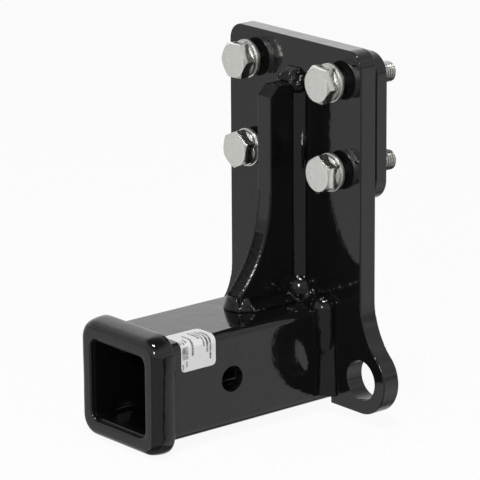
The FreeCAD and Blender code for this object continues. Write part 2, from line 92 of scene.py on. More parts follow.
def smooth(piece, sharp_over=None):
    """Smooth shading, with edges over an angle in degrees kept sharp."""
    piece.data.polygons.foreach_set("use_smooth", [True] * len(piece.data.polygons))
    if sharp_over is not None:
        piece.data.set_sharp_from_angle(angle=math.radians(sharp_over))


def finish_piece(piece, replaced=()):
    """Fixes a piece to the one rigid body and hides the nodes that it stands for."""
    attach(piece, "root")
    if replaced:
        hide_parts(*replaced)


def joined(name, meshes):
    """One piece from several closed meshes."""
    build = bmesh.new()
    for mesh in meshes:
        build.from_mesh(mesh)
        bpy.data.meshes.remove(mesh)
    mesh = bpy.data.meshes.new(name)
    bmesh.ops.recalc_face_normals(build, faces=build.faces)
    build.to_mesh(mesh)
    build.free()
    return new_object(name, mesh)


def ring_surface(name, rings, capped=True):
    """Mesh through equal rings of points, closed by one face at each end where it is capped."""
    count = len(rings[0])
    faces = []
    for i in range(len(rings) - 1):
        here = i * count
        there = here + count
        for j in range(count):
            k = (j + 1) % count
            faces.append((here + j, here + k, there + k, there + j))
    if capped:
        last = (len(rings) - 1) * count
        faces.append(tuple(range(count))[::-1])
        faces.append(tuple(range(last, last + count)))
    mesh = bpy.data.meshes.new(name)
    mesh.from_pydata([point for ring in rings for point in ring], [], faces)
    mesh.update()
    return mesh


MERGE_DISTANCE = 1e-6


def loose_parts(node_name):
    """Boxes of the separate solids in a node as (low, high), row by row from the upper left one."""
    build = bmesh.new()
    build.from_mesh(NODES[node_name].data)
    bmesh.ops.remove_doubles(build, verts=build.verts, dist=MERGE_DISTANCE)
    build.verts.ensure_lookup_table()
    unseen = set(range(len(build.verts)))
    parts = []
    while unseen:
        stack = [unseen.pop()]
        members = []
        while stack:
            vertex = build.verts[stack.pop()]
            members.append(vertex.co.copy())
            for edge in vertex.link_edges:
                other = edge.other_vert(vertex).index
                if other in unseen:
                    unseen.discard(other)
                    stack.append(other)
        low = Vector([min(point[k] for point in members) for k in range(3)])
        high = Vector([max(point[k] for point in members) for k in range(3)])
        parts.append((low, high))
    build.free()
    # Heights rounded to 10 mm keep the solids of one row together
    return sorted(parts, key=lambda box: (-round(box[0].z, 2), box[0].x))


class ShaderTree:
    """Short calls that build the node tree of a material or of the world."""

    def __init__(self, owner):
        owner.use_nodes = True
        self.owner = owner
        self.tree = owner.node_tree
        self.tree.nodes.clear()

    def put(self, value, socket):
        """Links an output to a socket, or sets the socket to a plain value."""
        if isinstance(value, bpy.types.NodeSocket):
            self.tree.links.new(value, socket)
        else:
            socket.default_value = value

    def node(self, kind, inputs=(), **settings):
        """New node of a kind, with its inputs by name or number and its own settings."""
        item = self.tree.nodes.new("ShaderNode" + kind)
        for key, value in settings.items():
            setattr(item, key, value)
        for key, value in dict(inputs).items():
            self.put(value, item.inputs[key])
        return item

    def object_point(self):
        """Place on the surface, in metres from the object's origin."""
        return self.node("TexCoord").outputs["Object"]

    def noise(self, scale, detail=2.0, roughness=0.5, vector=None):
        """Noise with a scale in waves per metre."""
        vector = vector or self.object_point()
        inputs = {"Vector": vector, "Scale": scale, "Detail": detail, "Roughness": roughness}
        return self.node("TexNoise", inputs).outputs["Fac"]

    def remap(self, value, low, high, to_low, to_high, style="LINEAR"):
        """Spreads one span of a value over another and holds it at the ends."""
        inputs = {"Value": value, "From Min": low, "From Max": high, "To Min": to_low, "To Max": to_high}
        return self.node("MapRange", inputs, interpolation_type=style).outputs["Result"]

    def math(self, operation, a, b=0.0):
        """One step of arithmetic on numbers."""
        return self.node("Math", {0: a, 1: b}, operation=operation).outputs[0]

    def vector(self, operation, a, b=(0.0, 0.0, 0.0)):
        """One step of arithmetic on vectors."""
        return self.node("VectorMath", {0: a, 1: b}, operation=operation).outputs[0]

    def mix(self, factor, a, b):
        """Blend of two colours, which are the node's inputs 6 and 7 and its output 2."""
        return self.node("Mix", {0: factor, 6: a, 7: b}, data_type="RGBA").outputs[2]

    def mix_shaders(self, factor, a, b):
        """Blend of two shaders."""
        return self.node("MixShader", {0: factor, 1: a, 2: b}).outputs[0]

    def seen_directly(self):
        """1 where the camera sees this straight on or through glass, else 0."""
        path = self.node("LightPath").outputs
        return self.math("MAXIMUM", path["Is Camera Ray"], path["Is Transmission Ray"])

    def ramp(self, value, stops):
        """Grey levels along a value, as (place, level) pairs in rising order."""
        low, high = stops[0][0], stops[-1][0]
        item = self.node("ValToRGB", {0: self.remap(value, low, high, 0.0, 1.0)})
        elements = item.color_ramp.elements
        elements.remove(elements[-1])
        for index, (place, level) in enumerate(stops):
            position = (place - low) / (high - low)
            element = elements[0] if index == 0 else elements.new(position)
            element.position = position
            element.color = grey(level)
        return item.outputs[0]

    def bump(self, height, strength, distance, normal=None):
        """Normal tilted by a height, whose full range is the distance in metres."""
        inputs = {"Height": height, "Strength": strength, "Distance": distance}
        if normal is not None:
            inputs["Normal"] = normal
        return self.node("Bump", inputs).outputs["Normal"]

    def output(self, shader, kind="OutputMaterial"):
        """Ends the tree with a shader and gives back the material or the world."""
        self.node(kind, {"Surface": shader})
        return self.owner

    def surface(self, **inputs):
        """Ends the tree with one Principled shader, its inputs given by name."""
        names = {key.replace("_", " "): value for key, value in inputs.items()}
        return self.output(self.node("BsdfPrincipled", names).outputs[0])


def material_tree(name):
    """The empty tree of a new material."""
    return ShaderTree(bpy.data.materials.new(name))


def grey(value):
    """Colour of three equal parts."""
    return (value, value, value, 1.0)


# Spans of a noise that are spread over another range: most of its values, or its peaks alone
WIDE_SPAN = (0.35, 0.70)
EVEN_SPAN = (0.35, 0.65)
DUST_SPAN = (0.62, 0.80)
PIT_SPAN = (0.62, 0.72)

PAINT_IOR = 1.5
WELD_PAINT_IOR = 1.46
FILM_IOR = 1.45


def coat(s, low, high):
    """Dark base colour of the enamel with a little dust in it."""
    dust = s.remap(s.noise(900.0, 3.0, 0.7), *DUST_SPAN, 0.0, 1.0)
    return s.mix(dust, grey(low), grey(high))


def black_paint():
    """Gloss black enamel with a faint orange peel and a little dust."""
    s = material_tree("black_paint")
    orange_peel = s.noise(320.0)
    sag = s.noise(60.0)
    haze = s.noise(25.0, 4.0, 0.6)
    normal = s.bump(orange_peel, 0.12, 0.4 * MM)
    normal = s.bump(sag, 0.10, 1.5 * MM, normal)
    rough = s.remap(haze, *WIDE_SPAN, 0.045, 0.10)
    return s.surface(
        Base_Color=coat(s, 0.0050, 0.0095), Roughness=rough, IOR=PAINT_IOR, Normal=normal)


def cut_paint():
    """Thin dull enamel over a flame-cut edge, with the cut's coarse grooves."""
    s = material_tree("cut_paint")
    across_cut = s.vector("MULTIPLY", s.object_point(), (0.5, 1.0, 1.6))
    grooves = s.noise(260.0, 5.0, 0.65, across_cut)
    rough = s.remap(s.noise(150.0, 3.0), *EVEN_SPAN, 0.16, 0.36)
    return s.surface(
        Base_Color=coat(s, 0.0055, 0.0130), Roughness=rough, IOR=PAINT_IOR,
        Normal=s.bump(grooves, 1.0, 3.0 * MM), Specular_IOR_Level=0.10)


def joint_paint_and_shade():
    """Dull black paint drawn into a joint, whose low gloss also stands in for the joint's shade as
    painted shade.
    """
    s = material_tree("joint_paint_and_shade")
    crumbs = s.noise(500.0, 3.0, 0.6)
    rough = s.remap(s.noise(200.0, 3.0), *EVEN_SPAN, 0.35, 0.6)
    return s.surface(
        Base_Color=coat(s, 0.0060, 0.0110), Roughness=rough, IOR=PAINT_IOR,
        Normal=s.bump(crumbs, 0.6, 0.8 * MM), Specular_IOR_Level=0.08)


def weld_paint(name, grit, grit_depth, waves=0.20, gloss=0.5):
    """The same enamel over weld metal, with spatter and a coarser skin."""
    s = material_tree(name)
    spatter = s.noise(700.0, 3.0, 0.6)
    ripples = s.noise(160.0)
    normal = s.bump(spatter, grit, grit_depth)
    normal = s.bump(ripples, waves, 1.2 * MM, normal)
    rough = s.remap(s.noise(90.0, 3.0), *WIDE_SPAN, 0.05, 0.12)
    return s.surface(
        Base_Color=coat(s, 0.0035, 0.0060), Roughness=rough, IOR=WELD_PAINT_IOR,
        Normal=normal, Specular_IOR_Level=gloss)


ZINC_COOL = (0.68, 0.71, 0.69, 1.0)
ZINC_WARM = (0.78, 0.77, 0.70, 1.0)
ZINC_PITTED = (0.48, 0.48, 0.42, 1.0)


def zinc_plate(name, least_rough, most_rough):
    """Bright zinc over forged steel: warm grey, faintly mottled, with uneven gloss."""
    s = material_tree(name)
    pits = s.remap(s.noise(650.0), *PIT_SPAN, 0.0, 0.8)
    base = s.mix(s.noise(140.0, 4.0, 0.55), ZINC_COOL, ZINC_WARM)
    base = s.mix(pits, base, ZINC_PITTED)
    grain = s.noise(900.0)
    forging_marks = s.noise(200.0, 3.0)
    normal = s.bump(grain, 0.22, 0.2 * MM)
    normal = s.bump(forging_marks, 0.25, 0.5 * MM, normal)
    rough = s.remap(s.noise(300.0, 3.0, 0.6), *WIDE_SPAN, least_rough, most_rough)
    return s.surface(Base_Color=base, Metallic=1.0, Roughness=rough, Normal=normal)


# Plain grey bars on the label as (first y, last y, first arc, last arc, grey level), lengths in
# mm. The arc starts at the fold on the tube's upper edge: above 0 down the side, below 0 on top.
LABEL_BARS = (
    (-40.2, -35.4, 3.0, 11.4, 0.30),
    (-39.6, -37.6, 4.0, 7.5, 0.18),
    (-32.6, -31.0, -11.0, 10.0, 0.10),
    (-26.0, -24.4, -13.5, -1.5, 0.08),
    (-23.4, -22.2, -13.0, 5.5, 0.16),
    (-20.9, -19.4, -13.0, 10.0, 0.08),
    (-18.4, -17.0, -11.5, 14.5, 0.08),
    (-40.2, -38.9, 14.4, 18.0, 0.22),
    (-37.2, -36.0, 12.6, 16.5, 0.22),
    (-40.8, -39.6, -3.5, 0.5, 0.30),
    (-38.6, -37.4, -4.0, 1.0, 0.25),
    (-36.4, -35.2, -5.5, -0.5, 0.10),
)
BAR_BLUR = 0.2 * MM
INK_SPAN = (0.40, 0.55)
THINNEST_INK = 0.55


def label_film():
    """White film, bare but for plain grey bars with uneven ink."""
    s = material_tree("label_film")
    point = s.node("SeparateXYZ", {0: s.object_point()}).outputs
    tube_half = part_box("receiver_tube")[1][0]
    down_side = s.math("SUBTRACT", tube_half, point["Z"])
    over_top = s.math("SUBTRACT", tube_half, point["X"])
    arc = s.math("SUBTRACT", down_side, over_top)

    def within(value, first, last):
        """1 between two places in mm, fading to 0 over the blur at each."""
        first, last = first * MM, last * MM
        after = s.remap(value, first - BAR_BLUR, first + BAR_BLUR, 0.0, 1.0)
        before = s.remap(value, last + BAR_BLUR, last - BAR_BLUR, 0.0, 1.0)
        return s.math("MULTIPLY", after, before)

    along_bars = s.vector("MULTIPLY", s.object_point(), (1.0, 0.25, 1.0))
    ink_density = s.remap(s.noise(750.0, 2.0, 0.6, along_bars), *INK_SPAN, THINNEST_INK, 1.0)
    base = s.mix(s.noise(400.0), grey(0.74), grey(0.80))
    for first_y, last_y, first_arc, last_arc, level in LABEL_BARS:
        bar = s.math("MULTIPLY", within(point["Y"], first_y, last_y), within(arc, first_arc, last_arc))
        base = s.mix(s.math("MULTIPLY", bar, ink_density), base, grey(level))
    normal = s.bump(s.noise(500.0), 0.08, 0.3 * MM)
    return s.surface(Base_Color=base, Roughness=0.42, IOR=FILM_IOR, Normal=normal)


MATERIALS = {
    "black_paint": black_paint(),
    "cut_paint": cut_paint(),
    "joint_paint_and_shade": joint_paint_and_shade(),
    "painted_weld": weld_paint("weld_paint", 0.30, 0.4 * MM),
    "rough_weld": weld_paint("rough_weld_paint", 0.12, 0.2 * MM, waves=0.10),
    "smooth_weld": weld_paint("smooth_weld_paint", 0.10, 0.2 * MM, waves=0.08),
    "dark_weld": weld_paint("dark_weld_paint", 0.15, 0.3 * MM, gloss=0.28),
    "zinc_plate": zinc_plate("zinc_plate", 0.17, 0.32),
    "dull_zinc": zinc_plate("dull_zinc", 0.30, 0.50),
    "label_film": label_film(),
}
SLOTS = {part["node"]: part["material_slot"] for part in frame["record"]["subparts"]}


def dress_nodes():
    """Every carried-over node gets the material of its slot."""
    for name, node in NODES.items():
        node.data.materials.clear()
        node.data.materials.append(MATERIALS[SLOTS[name]])


WELD_VOXEL = 0.45 * MM
WELD_SWELL = 0.40 * MM
WELD_SOFTENING = 18

# The weld's uneven skin, as (waves per metre, height in mm), and the noise's step from run to run
WELD_WAVES = ((90.0, 0.40), (330.0, 0.22), (800.0, 0.025))
SEED_STEPS = (0.37, 0.11, 0.71)

# Lumps of weld laid over the runs, as (centre, half sizes) in mm
SIDE_LUMPS = (
    ((30.0, 77.5, 30.4), (9.4, 8.8, 8.8)),
    ((31.0, 77.6, 25.0), (8.6, 8.4, 13.0)),
    ((33.0, 77.8, 14.0), (6.4, 7.2, 18.0)),
)
WRAP_LUMPS = (
    ((7.4, 76.4, 173.4), (6.2, 6.6, 5.2)),
    ((3.0, 78.6, 177.0), (6.4, 4.6, 5.0)),
)
FOOT_LUMPS = (
    ((-1.0, 36.0, 31.0), (10.2, 9.6, 3.6)),
    ((-8.2, 30.6, 31.4), (4.6, 2.4, 2.0)),
    ((3.6, 33.0, 35.6), (5.2, 4.6, 4.4)),
    ((7.0, 78.5, 38.0), (10.4, 10.6, 11.8)),
    ((13.0, 80.5, 33.5), (9.0, 7.5, 7.5)),
    ((-7.5, 78.0, 37.6), (11.0, 11.0, 11.5)),
)

# Weld runs as (piece, nodes that it starts from and replaces, finish, how uneven its skin is, lumps)
WELDS = (
    ("slot_weld_run", ("slot_weld",), "painted_weld", 0.5, ()),
    ("tube_weld_right_run", ("tube_weld_right",), "smooth_weld", 0.25, SIDE_LUMPS),
    ("tube_weld_left_run", ("tube_weld_left",), "smooth_weld", 0.6, ()),
    ("gusset_weld_top_run", ("gusset_weld_top",), "dark_weld", 0.9, WRAP_LUMPS),
    ("gusset_foot_run", ("gusset_weld_nose", "gusset_foot_weld_right", "gusset_foot_weld_left"),
     "rough_weld", 0.38, FOOT_LUMPS),
    ("gusset_weld_right_run", ("gusset_weld_right",), "smooth_weld", 0.4, ()),
    ("gusset_weld_left_run", ("gusset_weld_left",), "smooth_weld", 0.4, ()),
    ("tube_top_weld_right_run", ("tube_top_weld_right",), "smooth_weld", 0.4, ()),
    ("tube_top_weld_left_run", ("tube_top_weld_left",), "smooth_weld", 0.4, ()),
    ("collar_weld_upper_run", ("collar_weld_upper",), "painted_weld", 0.5, ()),
    ("collar_weld_lower_run", ("collar_weld_lower",), "painted_weld", 0.5, ()),
    ("spacer_weld_right_run", ("spacer_weld_right",), "rough_weld", 1.0, ()),
    ("spacer_weld_left_run", ("spacer_weld_left",), "rough_weld", 1.0, ()),
)

# Height above which a node's form is flattened before its run is made
SOURCE_TOPS = {"gusset_weld_nose": 40.6 * MM}


def weld_form(name, sources, lumps):
    """The nodes' own forms with the lumps over them, as one mesh."""
    build = bmesh.new()
    for source in sources:
        known = set(build.verts)
        build.from_mesh(NODES[source].data)
        if source in SOURCE_TOPS:
            for vertex in set(build.verts) - known:
                vertex.co.z = min(vertex.co.z, SOURCE_TOPS[source])
    for centre, half_sizes in lumps:
        size = Matrix.Diagonal((*(Vector(half_sizes) * MM), 1.0))
        place = Matrix.Translation(Vector(centre) * MM) @ size
        bmesh.ops.create_icosphere(build, subdivisions=3, radius=1.0, matrix=place)
    mesh = bpy.data.meshes.new(name)
    build.to_mesh(mesh)
    build.free()
    return mesh


def weld_piece(name, sources, finish, unevenness, lumps, seed):
    """A run of weld with soft toes that sink into its neighbours and an uneven skin."""
    piece = new_object(name, weld_form(name, sources, lumps))
    piece.data.materials.append(MATERIALS[finish])
    remesh = piece.modifiers.new("even", "REMESH")
    remesh.mode = "VOXEL"
    remesh.voxel_size = WELD_VOXEL
    swell = piece.modifiers.new("swell", "DISPLACE")
    swell.strength = WELD_SWELL
    swell.mid_level = 0.0
    soften = piece.modifiers.new("soften", "SMOOTH")
    soften.factor = 0.5
    soften.iterations = WELD_SOFTENING
    apply_modifiers(piece)
    vertices = piece.data.vertices
    offset = Vector([seed * step for step in SEED_STEPS])
    normals = [vertex.normal.copy() for vertex in vertices]
    for vertex, normal in zip(vertices, normals):
        height = sum(noise.noise(vertex.co * scale + offset) * size for scale, size in WELD_WAVES)
        vertex.co += normal * height * unevenness * MM
    smooth(piece)
    finish_piece(piece, sources)


# Collar section, lengths in mm and angles in degrees. Depth is measured back from the mouth and
# reach out from the tube's axis. The nose is the round from the flat face to the crown, which is
# the rim's outer arc, from its start to its end.
COLLAR_HALF = 38.9
COLLAR_CORNER = 14.0
COLLAR_DEPTH = 16.0
MOUTH_LEDGE = 4.55
MOUTH_CORNER = 7.0
MOUTH_DEPTH = 3.0
MOUTH_ROUNDING = 1.5
MOUTH_TURNS = (22.5, 45.0, 67.5, 90.0)
FACE_MARGIN = 2.0
NOSE_DEPTH = 5.0
NOSE_RISE = 5.4
NOSE_STEPS = 12
CROWN_RADIUS = 30.0
CROWN_START = 15.0
CROWN_END = -2.5
CROWN_STEPS = 10
BACK_TURNS = (20.0, 45.0, 70.0, 90.0)
TUBE_CLEARANCE = 0.1
TUBE_CORNER = 5.1


def collar_section():
    """Closed outline of the collar's wall as (reach, depth, corner radius) rows in mm."""
    tube_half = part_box("receiver_tube")[1][0] / MM
    mouth = tube_half - MOUTH_LEDGE
    rows = [(mouth, MOUTH_DEPTH, MOUTH_CORNER), (mouth, MOUTH_ROUNDING, MOUTH_CORNER)]
    for degrees in MOUTH_TURNS:
        turn = math.radians(degrees)
        ease = MOUTH_ROUNDING * (1 - math.cos(turn))
        rows.append((mouth + ease, MOUTH_ROUNDING * (1 - math.sin(turn)), MOUTH_CORNER + ease))
    crown_top = math.radians(CROWN_START)
    face_reach = COLLAR_HALF - CROWN_RADIUS * (1 - math.cos(crown_top)) - NOSE_RISE
    rows.append((face_reach - FACE_MARGIN, 0.0, None))
    # The nose ends at the slope at which the crown starts
    share = math.tan(crown_top) * NOSE_DEPTH / NOSE_RISE
    nose_turn = math.acos(share / (1 - share))
    for i in range(NOSE_STEPS + 1):
        turn = nose_turn * i / NOSE_STEPS
        rise = math.sin(turn) / math.sin(nose_turn)
        sink = (1 - math.cos(turn)) / (1 - math.cos(nose_turn))
        rows.append((face_reach + NOSE_RISE * rise, NOSE_DEPTH * sink, None))
    for i in range(1, CROWN_STEPS + 1):
        turn = math.radians(CROWN_START + (CROWN_END - CROWN_START) * i / CROWN_STEPS)
        reach = COLLAR_HALF - CROWN_RADIUS * (1 - math.cos(turn))
        rows.append((reach, NOSE_DEPTH + CROWN_RADIUS * (math.sin(crown_top) - math.sin(turn)), None))
    end_reach, end_depth = rows[-1][:2]
    back = COLLAR_DEPTH - end_depth
    for degrees in BACK_TURNS:
        turn = math.radians(degrees)
        rows.append((end_reach - back * (1 - math.cos(turn)), end_depth + back * math.sin(turn), None))
    rows.append((tube_half + TUBE_CLEARANCE, COLLAR_DEPTH, TUBE_CORNER))
    rows.append((tube_half + TUBE_CLEARANCE, MOUTH_DEPTH, TUBE_CORNER))
    outer = COLLAR_HALF - COLLAR_CORNER
    return [(r, y, r - outer if radius is None else radius) for r, y, radius in rows]


SIDE_STEPS = 26
CORNER_STEPS = 16


def rounded_square(reach, radius):
    """Points round a square with round corners, as (x, z)."""
    points = []
    straight = reach - radius
    for quarter in range(4):
        turn = quarter * math.pi / 2
        middle = turn + math.pi / 4
        centre_x = straight * math.sqrt(2) * math.cos(middle)
        centre_z = straight * math.sqrt(2) * math.sin(middle)
        for i in range(SIDE_STEPS):
            along = -straight + 2 * straight * i / SIDE_STEPS
            points.append((reach * math.cos(turn) - along * math.sin(turn),
                           reach * math.sin(turn) + along * math.cos(turn)))
        for i in range(CORNER_STEPS):
            bend = turn + math.pi / 2 * i / CORNER_STEPS
            points.append((centre_x + radius * math.cos(bend), centre_z + radius * math.sin(bend)))
    return points


# The pressing's waves on the rim: lengths and heights in mm, scales in waves per mm
RIM_REACH = 33.0
RIM_BLEND = 4.0
CROWN_BULGE = 0.5
BULGE_START = -20.0
BULGE_BLEND = 30.0
WAVE_SCALE = 0.06
WAVE_PLACE = Vector((3.1, 0.4, 1.7))
WAVE_HEIGHT = 0.30
WAVE_DEPTH = 0.5
RIPPLE_ROUND = 0.16
RIPPLE_ALONG = 0.30
RIPPLE_HEIGHT = 0.06


def collar_piece():
    """Formed ring round the mouth with a crowned rim and the slight waves of a pressing."""
    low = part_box("receiver_collar")[0]
    rings = []
    for reach, depth, radius in collar_section():
        ring = []
        on_rim = min(1.0, max(0.0, (reach - RIM_REACH) / RIM_BLEND))
        before_back = min(1.0, (COLLAR_DEPTH - depth) / RIM_BLEND)
        for x, z in rounded_square(reach, radius):
            wave = noise.noise(Vector((x, depth, z)) * WAVE_SCALE + WAVE_PLACE)
            ripple = noise.noise(Vector((x * RIPPLE_ROUND, depth * RIPPLE_ALONG, z * RIPPLE_ROUND)))
            bulge = CROWN_BULGE * on_rim * min(1.0, max(0.0, (z - BULGE_START) / BULGE_BLEND))
            waves = (wave * WAVE_HEIGHT + ripple * RIPPLE_HEIGHT) * on_rim
            shift = 1.0 + (bulge + waves) / COLLAR_HALF
            y = depth + on_rim * wave * WAVE_DEPTH * before_back
            point = Vector((x * shift * MM, low.y + max(0.0, y) * MM, z * shift * MM))
            point.z = max(point.z, low.z)
            ring.append(point)
        rings.append(ring)
    rings.append(rings[0])
    piece = joined("receiver_collar_ring", [ring_surface("collar", rings, capped=False)])
    piece.data.materials.append(MATERIALS["black_paint"])
    smooth(piece, sharp_over=40)
    finish_piece(piece, ["receiver_collar"])


# The gusset's front. A face looks forward, sideways or up where its normal's part that way is
# over the limit. The hollow and the coarse part of its cut end at these heights.
NORMAL_LIMIT = 0.5
HOLLOW_TOP = 105.0 * MM
COARSE_CUT_TOP = 80.0 * MM

# Lips of paint along the hollow's two edges, with their unevenness as (waves per metre, share of
# the radius)
LIP_RADIUS = 1.1 * MM
LIP_INSET = 0.62 * MM
LIP_SIDES = 8
LIP_FLAT_TURN = math.radians(51.0)
LIP_LOWEST = 40.5 * MM
LIP_STEP = 0.5 * MM
LIP_WAVES = ((260.0, 0.08), (700.0, 0.05))


def cut_lip(name, points, side):
    """Wavy eight-sided lip that the paint leaves along one edge of the hollow cut."""
    path = [Vector(point) for point in points if point[2] > LIP_LOWEST]
    spots = []
    for start, end in zip(path, path[1:]):
        count = max(1, round((end - start).length / LIP_STEP))
        spots.extend(start.lerp(end, i / count) for i in range(count))
    spots.append(path[-1])
    out = Vector((side, 0.0, 0.0))
    rings = []
    for index, spot in enumerate(spots):
        ahead = (spots[min(index + 1, len(spots) - 1)] - spots[max(index - 1, 0)]).normalized()
        away = out.cross(ahead).normalized()
        if away.y > 0:
            away = -away
        radius = LIP_RADIUS * (1.0 + sum(size * noise.noise(spot * scale) for scale, size in LIP_WAVES))
        centre = spot - (out + away) * LIP_INSET
        ring = []
        for k in range(LIP_SIDES):
            angle = LIP_FLAT_TURN + 2 * math.pi * (k + 0.5) / LIP_SIDES
            ring.append(centre + (out * math.cos(angle) + away * math.sin(angle)) * radius)
        rings.append(ring)
    piece = joined(name, [ring_surface(name, rings)])
    piece.data.materials.append(MATERIALS["painted_weld"])
    smooth(piece, sharp_over=30)
    finish_piece(piece)


def gusset_piece():
    """The gusset, coarse under the paint on its chamfer and low on its flame-cut hollow front."""
    piece = new_object("gusset_rib", NODES["gusset"].data.copy())
    mesh = piece.data
    mesh.materials.clear()
    mesh.materials.append(MATERIALS["black_paint"])
    mesh.materials.append(MATERIALS["cut_paint"])
    edge_points = set()
    for face in mesh.polygons:
        forward = -face.normal.y > NORMAL_LIMIT and abs(face.normal.x) < NORMAL_LIMIT
        slanting = face.normal.z > NORMAL_LIMIT
        if forward and (face.center.z < COARSE_CUT_TOP or slanting):
            face.material_index = 1
        if forward and face.center.z < HOLLOW_TOP:
            # Rounded to a micrometre, so that neighbouring faces share their corners
            corners = [mesh.vertices[i].co for i in face.vertices]
            edge_points.update(tuple(round(value, 6) for value in corner) for corner in corners)
    smooth(piece, sharp_over=30)
    for side, name in ((-1, "gusset_lip_left"), (1, "gusset_lip_right")):
        points = sorted((p for p in edge_points if p[0] * side > 0), key=lambda p: p[2])
        cut_lip(name, points, side)
    finish_piece(piece, ["gusset"])


# The bolts from the upper left one on: turns of their heads in degrees, and shifts in their
# holes as (x, z) in mm
PLACES = ("upper_left", "upper_right", "lower_left", "lower_right")
BOLT_TURNS = (1.5, 53.0, 23.0, 28.0)
BOLT_SHIFTS = ((-0.3, 0.7), (0.0, -0.7), (-0.1, 0.5), (-0.2, -0.1))

HEAD_ACROSS_FLATS = 22.0 * MM
HEAD_HEIGHT = 7.6 * MM
HEAD_FACE_SHARE = 0.975
HEAD_CONE_SLOPE = math.tan(math.radians(28.0))
HEAD_STEPS = 96

# Profile of a head from its face to its seat, lengths in mm: rows on the face as (share of its
# radius, sink), at its rim as (step out from the rim, sink) and below the cone as (step out from
# the flat, sink under the cone), and then the bevel at the seat
HEAD_FACE_ROWS = ((0.55, 0.05), (0.93, 0.0))
HEAD_RIM_ROWS = ((-0.10, 0.03), (0.05, 0.12))
HEAD_CONE_ROWS = ((-0.06, 0.10), (0.0, 0.28))
SEAT_BEVEL_WIDTH = 0.12 * MM
SEAT_BEVEL_HEIGHT = 0.25 * MM
SEAT_INNER_SHARE = 0.9

THREAD_RADIUS = 6.8 * MM
THREAD_PITCH = 2.0 * MM
THREAD_DEPTH = 1.15 * MM
THREAD_FLAT = 0.12
THREAD_STEPS = 12
SHANK_STEPS = 72
TIP_CHAMFER = 1.4 * MM
HIDDEN_MARGIN = 2.0 * MM
HIDDEN_STRIDE = 10


def hexagon_reach(angle, apothem):
    """Distance from the axis to a hexagon's side at an angle from a corner."""
    turn = (angle % (math.pi / 3)) - math.pi / 6
    return apothem / math.cos(turn)


def bolt_head_mesh(turn):
    """Hexagon head along +Y with its face at y = -height: turned face, cone and flats."""
    apothem = HEAD_ACROSS_FLATS / 2
    face = apothem * HEAD_FACE_SHARE
    columns = []
    for i in range(HEAD_STEPS):
        angle = 2 * math.pi * i / HEAD_STEPS
        reach = hexagon_reach(angle, apothem)
        drop = max(0.0, reach - face) * HEAD_CONE_SLOPE
        rows = [(face * share, -HEAD_HEIGHT + sink * MM) for share, sink in HEAD_FACE_ROWS]
        rows += [(face + step * MM, -HEAD_HEIGHT + sink * MM) for step, sink in HEAD_RIM_ROWS]
        rows += [(reach + step * MM, -HEAD_HEIGHT + drop + sink * MM) for step, sink in HEAD_CONE_ROWS]
        rows += [(reach, -SEAT_BEVEL_HEIGHT), (reach - SEAT_BEVEL_WIDTH, 0.0)]
        rows.append((THREAD_RADIUS * SEAT_INNER_SHARE, 0.0))
        turned = angle + math.radians(turn)
        columns.append([Vector((r * math.cos(turned), y, r * math.sin(turned))) for r, y in rows])
    return ring_surface("head", list(zip(*columns)))


def thread_radius(y, angle):
    """Radius of a vee thread with narrow flats, for a right-hand helix."""
    phase = (y / THREAD_PITCH - angle / (2 * math.pi)) % 1.0
    rise = abs(phase - 0.5) * 2
    rise = min(1.0, max(0.0, (rise - THREAD_FLAT) / (1 - 2 * THREAD_FLAT)))
    return THREAD_RADIUS - THREAD_DEPTH * (1 - rise)


def bolt_shank_mesh(length, hidden_from, hidden_to):
    """Threaded shank from y = 0 to its chamfered tip, coarse where it hides in the plates."""
    step = THREAD_PITCH / THREAD_STEPS
    depths = []
    y = 0.0
    while y < length:
        depths.append(y)
        hidden = hidden_from < y < hidden_to
        y += step * HIDDEN_STRIDE if hidden else step
    depths.append(length)
    rings = []
    for y in depths:
        ring = []
        envelope = THREAD_RADIUS - max(0.0, TIP_CHAMFER - (length - y))
        for j in range(SHANK_STEPS):
            angle = 2 * math.pi * j / SHANK_STEPS
            radius = min(thread_radius(y, angle), envelope)
            ring.append(Vector((radius * math.cos(angle), y, radius * math.sin(angle))))
        rings.append(ring)
    return ring_surface("shank", rings)


def bolt_pieces():
    """Four bolts, each over the box of its solid."""
    plate_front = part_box("mounting_plate")[0].y
    spacer_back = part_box("spacer_plate")[1].y
    rows = zip(PLACES, loose_parts("bolts"), BOLT_TURNS, BOLT_SHIFTS)
    for place, (low, high), turn, (shift_x, shift_z) in rows:
        centre = (low + high) / 2
        seat = low.y + HEAD_HEIGHT
        hidden_from = plate_front - seat + HIDDEN_MARGIN
        hidden_to = spacer_back - seat - HIDDEN_MARGIN
        shank = bolt_shank_mesh(high.y - seat, hidden_from, hidden_to)
        piece = joined("bolt_" + place, [bolt_head_mesh(turn), shank])
        piece.location = (centre.x + shift_x * MM, seat, centre.z + shift_z * MM)
        piece.data.materials.append(MATERIALS["zinc_plate"])
        smooth(piece, sharp_over=32)
        finish_piece(piece, ["bolts"])


# Washers. A lock washer's turn is where its cut lies, in degrees from the top towards +X.
LOCK_WASHER_RADIUS = 11.8 * MM
LOCK_WASHER_HEIGHT = 2.8 * MM
LOCK_WASHER_TURNS = (12.0, 35.0, 80.0, 60.0)
LOCK_WASHER_GAP = 2.2 * MM
LOCK_WASHER_LEAN = math.tan(math.radians(25.0))
LOCK_WASHER_STEPS = 90
FLAT_WASHER_RADIUS = 12.5 * MM
FLAT_WASHER_HEIGHT = 2.4 * MM
FLAT_WASHER_STEPS = 96
WASHER_BORE = 7.3 * MM
WASHER_EDGE = 0.25 * MM
EDGE_EASE = 0.3 * WASHER_EDGE


def washer_section(outer, height):
    """Cross-section of a washer with softened edges, as (radius, y) pairs."""
    edge = WASHER_EDGE
    bore = WASHER_BORE
    return (
        (bore, edge),
        (bore + edge, 0.0),
        (outer - edge, 0.0),
        (outer - EDGE_EASE, EDGE_EASE),
        (outer, edge),
        (outer, height - edge),
        (outer - EDGE_EASE, height - EDGE_EASE),
        (outer - edge, height),
        (bore + edge, height),
        (bore, height - edge),
    )


